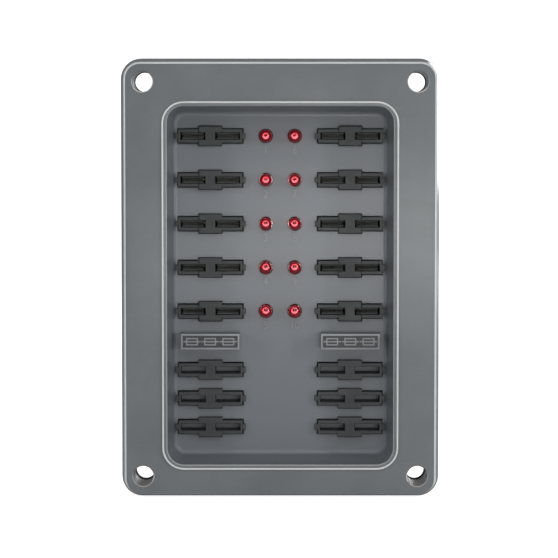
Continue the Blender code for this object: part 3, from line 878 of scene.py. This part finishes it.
shell = loftRings("housingShell", housingProfile())
addInside(shell)
addLabels(shell)
cutOpenings(shell)
addNumerals(shell)
smooth(shell, 28)
place(shell, "housing_grey", housingGrey, "housing")
print("housing", len(shell.data.polygons), "faces")


# Gasket

gasket = {"front": 16.3, "back": 19.0, "inset": 0.4, "window": 2.6, "edge": 0.35, "holeRadius": 3.8}


def buildGasket():
    front, back, edge = gasket["front"], gasket["back"], gasket["edge"]
    out, window = -gasket["inset"], gasket["window"]
    rings = arc("flange", out - edge, front + edge, edge, -90, 0, 3)
    rings += arc("flange", out - edge, back - edge, edge, 0, 90, 3)
    rings += arc("mouth", window + edge, back - edge, edge, 90, 180, 3)
    rings += arc("mouth", window + edge, front + edge, edge, 180, 270, 3)
    ring = loftRings("gasketRing", rings, closed=True)
    holes = cornerTubes("gasketHole", gasket["holeRadius"], front - 1, back + 1)
    combine(ring, merge(holes, "gasketHoles"), "DIFFERENCE")
    smooth(ring)
    return ring


place(buildGasket(), "gasket_foam", gasketFoam, "flange_gasket")
print("gasket done")


# Sockets

socket = {
    "length": 25.9, "width": 5.46, "front": 13.6,                       # the long body
    "blockLength": 9.76, "blockWidth": 8.3, "blockFront": 13.2,         # the wide block in the middle
    "tabReach": 1.3, "tabWidth": 2.4, "tabFront": 13.8,                 # the tabs at its ends
    "seat": 15.3, "slotAt": 7.0, "slotLength": 9.9, "slotWidth": 2.7,
    "round": 0.16, "shoulder": 0.65, "tabRound": 0.25, "slotDrop": 0.6, "slotEdge": 0.22,
    "grooves": (-0.85, 0.0, 0.85), "groove": (0.14, 0.22, 2.6),         # half width, depth, half length
    "workingBack": 29.8, "slotFloor": 28.0, "slit": (7.1, 1.5),
}


def buildSocket(name, back, working):
    halfL, halfW = socket["length"] / 2, socket["width"] / 2
    body = boxAt(name, 0, 0, halfL, halfW, socket["front"], back, socket["round"])
    halfBlock, halfWide, front = socket["blockLength"] / 2, socket["blockWidth"] / 2, socket["blockFront"]
    block = boxAt("block", 0, 0, halfBlock, halfWide, front, socket["seat"])

    def ends(a, b):
        return atDepth(front, a, b) and abs(a.z - b.z) < near

    roundWhere(block, ends, socket["shoulder"] * mm, 3, 0.6)
    roundEdges(block, socket["round"] * mm, 2, 50)
    combine(body, block, "UNION")
    reach, halfTab = halfL + socket["tabReach"], socket["tabWidth"] / 2
    for side in (-1, 1):
        xs = sorted((side * (halfL - 0.8), side * reach))
        low, high = (xs[0], socket["tabFront"], -halfTab), (xs[1], socket["seat"], halfTab)
        combine(body, roundBox("tab", low, high, socket["tabRound"]), "UNION")
    halfSlot, halfGap = socket["slotLength"] / 2, socket["slotWidth"] / 2
    wide, high = socket["slit"]
    for side in (-1, 1):
        x = side * socket["slotAt"]
        deep = socket["slotFloor"] if working else back + 1
        slot = boxAt("slot", x, 0, halfSlot, halfGap, front + socket["slotDrop"], deep)
        combine(body, flareFront(slot, socket["slotEdge"]), "DIFFERENCE")
        if working:
            combine(body, boxAt("slit", x, 0, wide / 2, high / 2, deep - 1, back + 1), "DIFFERENCE")
    half, drop, reach = socket["groove"]
    for x in socket["grooves"]:
        combine(body, boxAt("groove", x, 0, half, reach, front - 1, front + drop), "DIFFERENCE")
    smooth(body)
    return body


def placeAcross(source, names, slot, material):
    for name in names:
        place(copyTo(source, name + "_fine", name), slot, material, name)
    bpy.data.objects.remove(source)


working = buildSocket("workingSocket", socket["workingBack"], True)
placeAcross(working, socketNames, "socket_black", socketBlack)
empty = buildSocket("spareSocket", depthsOf(spareNames[0])[1], False)
placeAcross(empty, spareNames, "socket_black", socketBlack)
print("sockets done")


# Fuse clips

clip = {
    "wide": 8.6, "thick": 0.42, "edge": 0.07, "mouth": 15.4, "end": 43.0,
    # depth and height of one leaf, from the mouth inwards
    "leaf": ((0.0, 1.10), (0.5, 0.86), (1.2, 0.64), (2.6, 0.30), (4.2, 0.46), (7.0, 0.79), (9.6, 0.69)),
    "tab": (6.3, 0.8), "tabStart": 24.8, "tip": 1.2, "tipShare": (0.82, 1, 0.5), "tabEdge": 0.08,
    "hole": 0.8, "holeAt": 4.2,
}


def buildClip():
    # both leaves drawn out step by step from one edge and given their thickness, then the tab
    deselect()
    bpy.ops.mesh.primitive_plane_add(size=1, location=(0, 0, 0))
    leaf = bpy.context.object
    leaf.name = "clipLeaf"
    editStart(leaf)
    pick("SELECT")
    bpy.ops.mesh.delete(type="ONLY_FACE")
    pick("SELECT")
    bpy.ops.transform.resize(value=(clip["wide"] * mm, 0, 0))
    bpy.ops.mesh.remove_doubles(threshold=0.01 * mm)
    pick("SELECT")
    path = clip["leaf"] + tuple((depth, -height) for depth, height in reversed(clip["leaf"]))
    depth, height = path[0]
    bpy.ops.transform.translate(value=(0, depthY(clip["mouth"] + depth), height * mm))
    for (fromDepth, fromHeight), (toDepth, toHeight) in zip(path, path[1:]):
        drawOut(0, (toDepth - fromDepth) * mm, (toHeight - fromHeight) * mm)
    editEnd()
    modify(leaf, "SOLIDIFY", thickness=clip["thick"] * mm, offset=0.0, use_even_offset=True)
    modify(leaf, "BEVEL", width=clip["edge"] * mm, segments=2, limit_method="ANGLE", angle_limit=1.0)
    wide, thick = clip["tab"]
    tab = boxAt("clipTab", 0, 0, wide / 2, thick / 2, clip["tabStart"], clip["end"] - clip["tip"])
    selectWhere(tab, "FACE", backward)
    drawOut(0, clip["tip"] * mm, 0)
    bpy.ops.transform.resize(value=clip["tipShare"], center_override=(0, 0, 0))
    editEnd()
    roundEdges(tab, clip["tabEdge"] * mm)
    hole = addTube("tabHole", (0, 0, 0), clip["hole"] * mm, 3 * mm, 24)
    only(hole)
    bpy.ops.transform.rotate(value=quarter, orient_axis="X", center_override=(0, 0, 0))
    hole.location = (0, depthY(clip["end"] - clip["holeAt"]), 0)
    settle(hole)
    combine(tab, hole, "DIFFERENCE")
    combine(leaf, tab, "UNION", "MANIFOLD")
    smooth(leaf)
    return leaf


placeAcross(buildClip(), clipNames, "contact_metal", tinnedBrass)
print("clips done")


# Lamps

lamp = {
    "radius": 2.45, "tip": 10.6, "shoulder": 18.3, "back": 19.3, "flange": 2.9, "dome": 2.2,
    "cupAt": 14.6, "cupRadius": 0.62, "cupWall": 0.06, "cupDeep": 0.5, "cupFloor": 0.62, "cupLong": 1.6,
    "legSide": 0.5, "legPitch": 2.54, "legDrop": 0.9, "legEnd": 32.3, "legEdge": 0.06,
    "bridge": (15.6, 16.2), "wireHalf": 0.07, "wireRise": 0.1, "wireSink": 0.02,
}


def buildLens():
    lens = tubeAt("lens", 0, 0, lamp["radius"], lamp["tip"], lamp["shoulder"] + 0.2, 64)
    roundWhere(lens, lambda a, b: atDepth(lamp["tip"], a, b), lamp["dome"] * mm, 12)
    foot = tubeAt("lensFoot", 0, 0, lamp["flange"], lamp["shoulder"], lamp["back"], 64)
    roundEdges(foot, 0.15 * mm, 2)
    combine(lens, foot, "UNION")
    smooth(lens, 40)
    return lens


def buildLeads():
    # the bright cup that holds the light source, its post, and the two legs
    top, edge, half = lamp["cupAt"], lamp["legEdge"], lamp["legSide"] / 2
    cup = tubeAt("leads", 0, 0, lamp["cupRadius"], top, top + lamp["cupLong"])
    selectWhere(cup, "FACE", lambda centre, normal: normal.y < -0.9)
    bpy.ops.mesh.inset(thickness=lamp["cupWall"] * mm)
    drawOut(0, lamp["cupDeep"] * mm, 0)
    bpy.ops.transform.resize(value=(lamp["cupFloor"], 1, lamp["cupFloor"]), center_override=(0, 0, 0))
    editEnd()
    legs = [cup]
    for x in (-lamp["legPitch"] / 2, lamp["legPitch"] / 2):
        legs.append(boxAt("leg", x, 0, half, half, top + lamp["legDrop"], lamp["legEnd"], edge))
    front, back = lamp["bridge"]
    legs.append(roundBox("bridge", (-lamp["legPitch"] / 2, front, -half), (0.3, back, half), edge))
    thin, rise, sink = lamp["wireHalf"], lamp["wireRise"], lamp["wireSink"]
    low, high = (-thin, top - rise, -thin), (thin, top + sink, lamp["cupRadius"] + rise)
    legs.append(roundBox("bondWire", low, high, sink))
    joined = merge(legs, "lampLeads")
    smooth(joined)
    return joined


lens = buildLens()
leads = buildLeads()
for name in lampNames:
    place(copyTo(lens, name + "_lens", name), "led_red", lampRed, name)
    place(copyTo(leads, name + "_leads", name), "contact_metal", lampCupAndReflection)
bpy.data.objects.remove(lens)
bpy.data.objects.remove(leads)
print("lamps done")


# Circuit board with its tracks and solder

network = {"pins": 10, "pitch": 2.54, "round": 0.45, "pinHalf": (0.25, 0.4), "foot": 0.6}
board = {
    "corner": 2.0, "slit": (7.1, 1.5), "legHole": 0.55, "screwHole": 1.7,
    "track": 0.05, "sunk": 0.02, "padNear": 0.9, "padFar": 3.6, "padHalf": 4.2,    # copper under the mask
    "bus": (4.6, 3.6), "leadHalf": 0.4, "leadStart": 8.4, "margin": 2.5,
    "tabMound": (4.0, 1.2, 0.9, 0.83, 0.42), "legMound": (0.95, 0.75, 0.35), "pinMound": (0.8, 0.6, 0.4),
}
boardLow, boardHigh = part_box("circuit_board")
boardFront, boardBack = depthsOf("circuit_board")


def legPlaces(name):
    x, z = spot(name)
    return [(x - lamp["legPitch"] / 2, z), (x + lamp["legPitch"] / 2, z)]


def pinPlaces(name):
    x, z = spot(name)
    middle = (network["pins"] - 1) / 2
    return [(x, z + (pin - middle) * network["pitch"]) for pin in range(network["pins"])]


def buildBoard():
    low, high = boardLow / mm, boardHigh / mm
    plate = plainBox("boardPlate", (low.x, boardFront, low.z), (high.x, boardBack, high.z))

    def corners(a, b):
        return abs(a.x - b.x) < near and abs(a.z - b.z) < near

    roundWhere(plate, corners, board["corner"] * mm, 6)
    front, back = boardFront - 1, boardBack + 1
    wide, high = board["slit"]
    cuts = [boxAt("slit", *spot(name), wide / 2, high / 2, front, back) for name in clipNames]
    for name in lampNames:
        cuts += [tubeAt("legHole", *at, board["legHole"], front, back, 20) for at in legPlaces(name)]
    cuts += [tubeAt("hole", *spot(name), board["screwHole"], front, back, 32) for name in screwNames]
    combine(plate, merge(cuts, "boardCuts"), "DIFFERENCE")
    smooth(plate)
    return plate


def track(side, nearX, farX, low, high):
    # a raised strip of copper under the green mask, on one side of the middle
    xs = sorted((side * nearX, side * farX))
    front, back = boardBack - board["sunk"], boardBack + board["track"]
    return roundBox("track", (xs[0], front, low), (xs[1], back, high), board["sunk"])


def buildTracks():
    strips = []
    bottom, top = boardLow.z / mm + board["margin"], boardHigh.z / mm - board["margin"]

    def pads(side, x, z, inner, outer):
        for edge in (-1, 1):
            zs = sorted((z + edge * board["padNear"], z + edge * board["padFar"]))
            strips.append(track(side, x - inner, x + outer, *zs))

    feeds = [spot(name) for name in clipNames if name.startswith("feed")]
    half = board["padHalf"]
    for side in (-1, 1):
        column = [place for place in feeds if place[0] * side > 0]
        bus = abs(column[0][0])
        strips.append(track(side, bus - board["bus"][0], bus - board["bus"][1], bottom, top))
        for x, z in column:
            pads(side, bus, z, half, half)
    for name in clipNames:
        if name.startswith("load"):
            x, z = spot(name)
            side, thin = math.copysign(1, x), board["leadHalf"]
            pads(side, abs(x), z, half, half - 0.2)
            strips.append(track(side, board["leadStart"], abs(x) - half - 0.2, z - thin, z + thin))
    return merge(strips, "boardTracks")


def squeeze(blank, at, shareX, shareZ):
    # draws a blank's rear face together, so that it slopes like solder
    selectWhere(blank, "FACE", backward)
    bpy.ops.transform.resize(value=(shareX, 1, shareZ), center_override=(at[0] * mm, 0, at[1] * mm))
    editEnd()
    return blank


def buildSolder():
    # a fillet of solder round each clip's tab, each lamp's leg and each network's pin
    mounds = []
    halfX, halfZ, rise, shareX, shareZ = board["tabMound"]
    for name in clipNames:
        blank = boxAt("mound", *spot(name), halfX, halfZ, boardBack, boardBack + rise)
        mounds.append(squeeze(blank, spot(name), shareX, shareZ))
        roundEdges(mounds[-1], 0.3 * mm, 3)
    radius, rise, share = board["legMound"]
    for at in [place for name in lampNames for place in legPlaces(name)]:
        blank = tubeAt("mound", *at, radius, boardBack, boardBack + rise, 24)
        mounds.append(squeeze(blank, at, share, share))
        roundEdges(mounds[-1], 0.18 * mm, 3)
    radius, rise, share = board["pinMound"]
    for at in [place for name in networkNames for place in pinPlaces(name)]:
        blank = tubeAt("mound", *at, radius, boardBack, boardBack + rise, 16)
        mounds.append(squeeze(blank, at, share, share))
    joined = merge(mounds, "solderJoints")
    smooth(joined)
    return joined


place(buildBoard(), "board_green", boardGreen, "circuit_board")
place(buildTracks(), "board_green", trackGreen)
place(buildSolder(), "contact_metal", solderBright)
print("board done")


# Resistor networks

def buildNetwork(name):
    low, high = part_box(name)
    x, z = spot(name)
    front, back = depthsOf(name)
    back -= network["foot"]
    halfX, halfZ = (high.x - low.x) / 2 / mm, (high.z - low.z) / 2 / mm
    body = boxAt(name + "_body", x, z, halfX, halfZ, front, back)
    roundEdges(body, network["round"] * mm, 4)
    pinX, pinZ = network["pinHalf"]
    for x, z in pinPlaces(name):
        pin = boxAt("pin", x, z, pinX, pinZ, back - network["foot"], back + network["foot"])
        combine(body, pin, "UNION")
    smooth(body, 40)
    return body


for name in networkNames:
    place(buildNetwork(name), "resistor_black", networkBlack, name)
print("resistor networks done")


# Board screws

screw = {
    "head": 2.9, "headHigh": 1.9, "shank": 1.4, "dome": 0.9, "edge": 0.07, "driver": 0.8, "driverDeep": 0.9,
    "turn": dict(zip(screwNames, (0.4, -0.9, 1.2, 0.1))),        # where each slot stopped turning
}


def buildScrew(name):
    x, z = spot(name)
    front, end = depthsOf(name)
    head = tubeAt(name + "_fine", x, z, screw["head"], end - screw["headHigh"], end)
    roundWhere(head, lambda a, b: atDepth(end, a, b), screw["dome"] * mm, 6)
    shank = tubeAt("shank", x, z, screw["shank"], front, end - screw["headHigh"] + 0.4, 32)
    combine(head, shank, "UNION")
    half, reach = screw["driver"] / 2, screw["head"] + 1
    slot = boxAt("driver", x, z, reach, half, end - screw["driverDeep"], end + 1)
    only(slot)
    turn = screw["turn"][name]
    bpy.ops.transform.rotate(value=turn, orient_axis="Y", center_override=(x * mm, 0, z * mm))
    settle(slot)
    combine(head, slot, "DIFFERENCE")
    roundEdges(head, screw["edge"] * mm, 2, 50)
    smooth(head)
    return head


for name in screwNames:
    place(buildScrew(name), "screw_steel", screwZinc, name)
print("screws done")


# Floor, backdrop, lights and camera

studio = {
    "air": 0.09, "glow": (0.05, 0.95),
    "wide": 6.0, "near": -3.0, "far": 1.6, "tall": 3.2, "bend": 0.5,
    "cameraAt": (-0.0005, 0.8279, 0.0623),      # sideways, in front of the flange, up
    "tilt": 0.0534, "shift": 0.08, "lens": 135.0,
    "sheet": {
        "Base Color": (0.93, 0.93, 0.93, 1), "Roughness": 0.9, "Specular IOR Level": 0.1,
        "Emission Color": (1, 1, 1, 1),
    },
    "lights": {                                 # where each stands, its size and its power
        "frontSoft": ((0.30, -1.50, -0.03), (0.7, 0.08), 1.75),
        "frontLow": ((0.08, -0.80, -0.045), (0.4, 0.06), 0.45),
        "frontHigh": ((0.10, -1.20, 0.70), (0.8, 0.4), 2.6),
        "stripAbove": ((0.0, -0.62, 0.95), (1.2, 0.07), 2.0),
        "stripLeft": ((-0.95, -0.55, 0.2), (0.07, 0.7), 2.0),
        "stripRight": ((0.95, -0.55, 0.2), (0.07, 0.7), 3.2),
        "rearSoft": ((0.55, 1.15, 0.24), (0.5, 0.5), 4),
    },
}


def seenDirectly(tree, low, high):
    # one value where the camera looks straight at something and another for all other light
    path = tree.nodes.new("ShaderNodeLightPath")
    return ramp(tree, path.outputs["Is Camera Ray"], 0, 1, low, high)


def buildBackdrop():
    # a sheet that runs from the floor up behind the object in one bend
    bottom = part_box("housing")[0].z
    deselect()
    bpy.ops.mesh.primitive_plane_add(size=1, location=(0, (studio["near"] + studio["far"]) / 2, bottom))
    sheet = bpy.context.object
    sheet.name = "backdrop"
    sheet.scale = (studio["wide"], studio["far"] - studio["near"], 1)
    settle(sheet)

    def atRear(a, b):
        return min(a.y, b.y) > studio["far"] - 0.01

    selectWhere(sheet, "EDGE", atRear)
    drawOut(0, 0, studio["tall"])
    editEnd()
    roundWhere(sheet, lambda a, b: atRear(a, b) and max(a.z, b.z) < bottom + 0.01, studio["bend"], 24)
    smooth(sheet, 30)
    material, tree, shader = newMaterial("paleSheet")
    for name, value in studio["sheet"].items():
        shader[name].default_value = value
    tree.links.new(seenDirectly(tree, *studio["glow"]), shader["Emission Strength"])
    sheet.data.materials.append(material)


def addLight(name, where, size, power):
    # a flat lamp turned towards the middle of the object
    deselect()
    bpy.ops.object.light_add(type="AREA", location=where)
    light = bpy.context.object
    light.name = name
    light.data.shape = "RECTANGLE"
    light.data.size, light.data.size_y = size
    light.data.energy = power
    light.rotation_euler = (-light.location).to_track_quat("-Z", "Y").to_euler()


def addAir():
    # dim air that still shows white behind the sheet's open side
    world = bpy.data.worlds.new("studioAir")
    bpy.context.scene.world = world
    world.use_nodes = True
    air = world.node_tree.nodes["Background"].inputs
    air["Color"].default_value = (1, 1, 1, 1)
    strength = seenDirectly(world.node_tree, studio["air"], 1.0)
    world.node_tree.links.new(strength, air["Strength"])


def addCamera():
    data = bpy.data.cameras.new("camera")
    camera = bpy.data.objects.new("camera", data)
    bpy.context.scene.collection.objects.link(camera)
    data.sensor_width = 36.0
    data.lens = studio["lens"]
    data.shift_y = -studio["shift"]
    data.clip_start, data.clip_end = 0.05, 50
    sideways, distance, height = studio["cameraAt"]
    camera.location = (sideways, faceY - distance, height)
    camera.rotation_euler = (quarter - studio["tilt"], 0, 0)
    bpy.context.scene.camera = camera


buildBackdrop()
for name, light in studio["lights"].items():
    addLight(name, *light)
addCamera()
addAir()
bpy.context.scene.view_settings.view_transform = "Standard"
print("studio ready")
